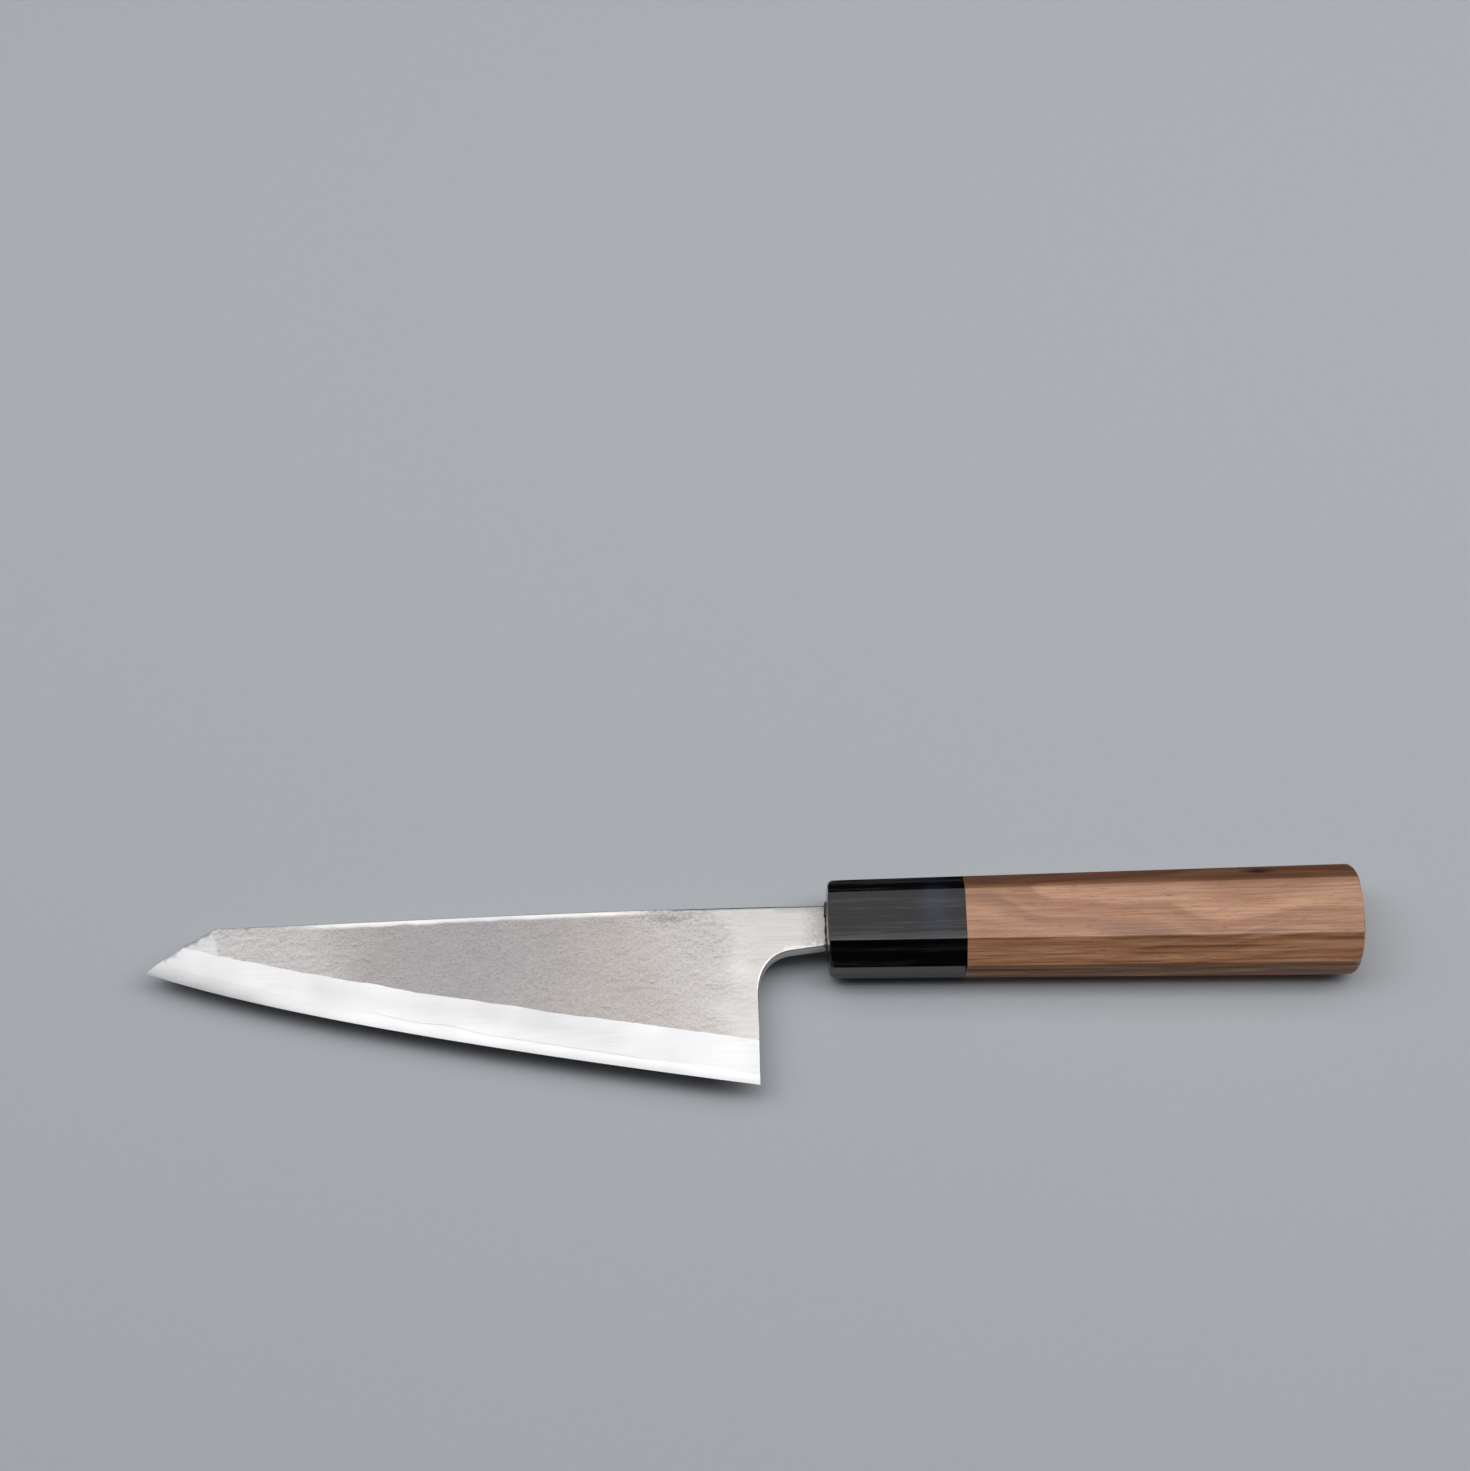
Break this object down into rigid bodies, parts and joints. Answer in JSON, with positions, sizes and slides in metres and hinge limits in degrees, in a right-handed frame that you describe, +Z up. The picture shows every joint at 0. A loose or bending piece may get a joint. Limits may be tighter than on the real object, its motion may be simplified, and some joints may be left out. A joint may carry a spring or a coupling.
{
  "type": "honesuki knife",
  "caption": "Honesuki boning knife: laminated triangular blade with an angled point, tall heel and long choil, in an octagonal horn and walnut handle.",
  "frame": {"origin": "under the middle of the bounding box, at the height of the lowest point of the handle's underside facet; the knife lies on its right face", "axes": "+X along the handle from tip to butt, +Y from the cutting edge to the spine, +Z up through the blade's thickness"},
  "size_m": [0.2918, 0.051, 0.0202],
  "materials": {
    "core_steel": "honed hardened carbon steel",
    "cladding": "soft stainless cladding with a rough pear-skin flat and a satin wide bevel",
    "horn": "polished black buffalo horn",
    "walnut": "oiled walnut",
    "dowel_wood": "bare magnolia",
    "resin": "dark resin"
  },
  "bodies": {
    "root": {"blade_core": "core_steel", "blade_cladding_left": "cladding", "blade_cladding_right": "cladding", "ferrule": "horn", "handle_body": "walnut", "handle_dowel": "dowel_wood", "tang_resin": "resin"}
  },
  "joints": []
}
